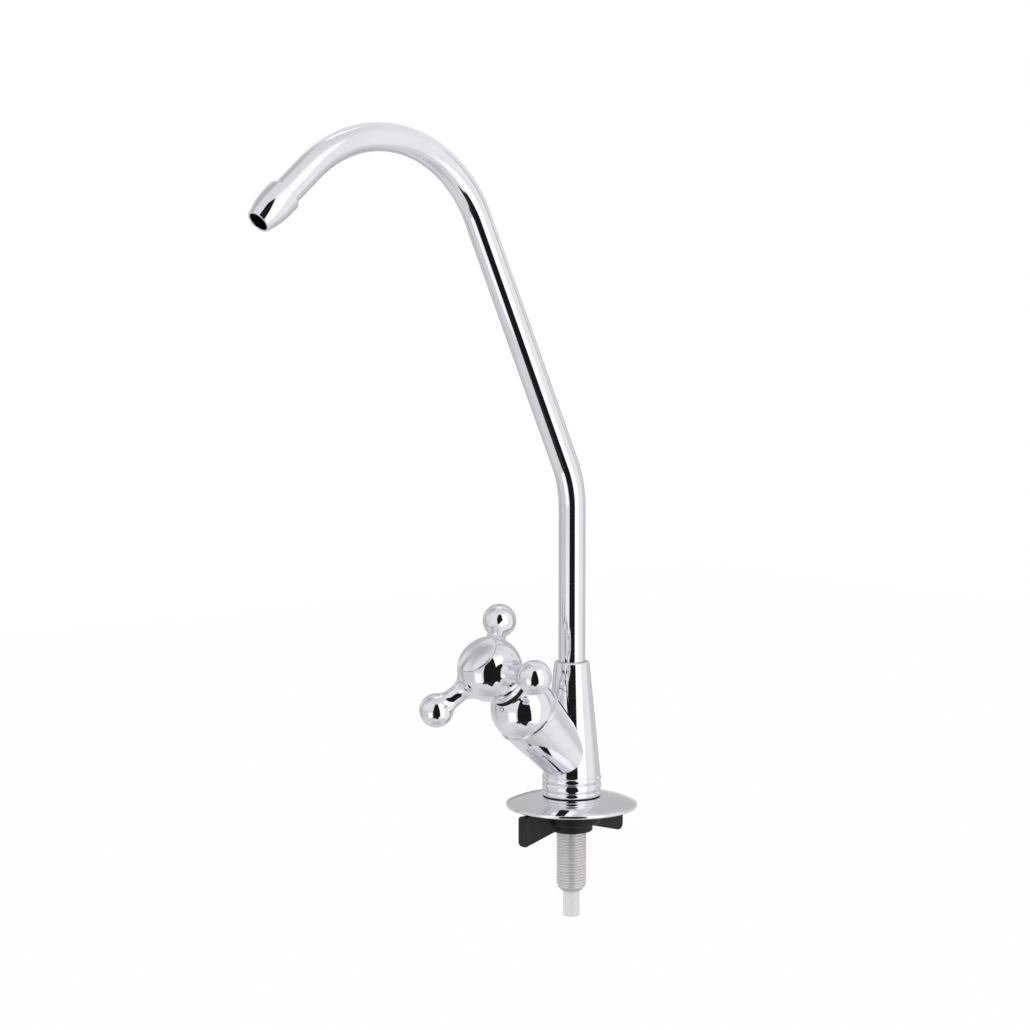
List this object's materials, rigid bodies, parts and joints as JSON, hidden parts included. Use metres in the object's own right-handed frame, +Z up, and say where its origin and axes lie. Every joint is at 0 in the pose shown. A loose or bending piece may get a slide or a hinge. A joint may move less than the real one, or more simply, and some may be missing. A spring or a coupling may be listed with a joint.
{
  "type": "drinking water filter tap",
  "caption": "Deck-mounted drinking water tap with a slender swivelling gooseneck spout, a slanted quarter-turn valve with a ball-ended cross handle, and a threaded shank with a wing nut.",
  "frame": {"origin": "centre of the counter hole, on the counter's top, where the base plate rests", "axes": "+Z up along the shank, the riser and the spout's swivel axis, and -Y towards the user, the way that the spout and the valve lean"},
  "size_m": [0.0554, 0.1687, 0.2924],
  "materials": {
    "chrome": "polished chrome plate on brass",
    "shank_steel": "satin",
    "black_plastic": "moulded, slightly rough",
    "black_rubber": "matte",
    "white_plastic": "smooth, slightly translucent",
    "brass": "turned",
    "spring_steel": "stamped",
    "ceramic": "lapped ceramic",
    "fibre": "red fibre"
  },
  "bodies": {
    "root": {"base_plate": "chrome", "base_gasket": "black_rubber", "body_casting": "chrome", "threaded_shank": "shank_steel", "shank_seal": "fibre", "inlet_tail": "white_plastic", "inlet_tail_ring": "black_rubber", "seat_seal": "black_rubber", "fixed_disc": "ceramic", "cartridge_housing": "brass", "housing_ring": "black_rubber", "bonnet": "chrome", "guide_bush": "white_plastic"},
    "handle": {"handle": "chrome", "handle_cap": "chrome", "handle_screw": "spring_steel", "valve_spindle": "brass", "moving_disc": "ceramic", "thrust_washer": "white_plastic", "spindle_rings": "black_rubber", "spindle_clip": "spring_steel"},
    "spout": {"spout_tube": "chrome", "spout_stem": "brass", "spout_rings": "black_rubber", "spout_clip": "spring_steel", "spout_nozzle": "chrome"},
    "washer": {"fixing_washer": "black_plastic"},
    "nut": {"wing_nut": "black_plastic"}
  },
  "joints": [
    {"name": "handle_turn", "type": "hinge", "parent": "root", "child": "handle", "pos_m": [0, 0, 0.016], "axis": [0, -0.7071, 0.7071], "range_deg": [0, 90]},
    {"name": "spout_swivel", "type": "hinge", "parent": "root", "child": "spout", "pos_m": [0, 0, 0.0549], "axis": [0, 0, 1], "continuous": true},
    {"name": "nut_travel", "type": "slide", "parent": "root", "child": "washer", "axis": [0, 0, 1], "range_m": [-0.0195, 0]},
    {"name": "nut_turn", "type": "hinge", "parent": "washer", "child": "nut", "pos_m": [0, 0, -0.0015], "axis": [0, 0, 1], "range_deg": [-6633, 0]}
  ],
  "couplings": [
    {"joint": "nut_travel", "follows": "nut_turn", "m_per_rad": 0.00016844}
  ]
}
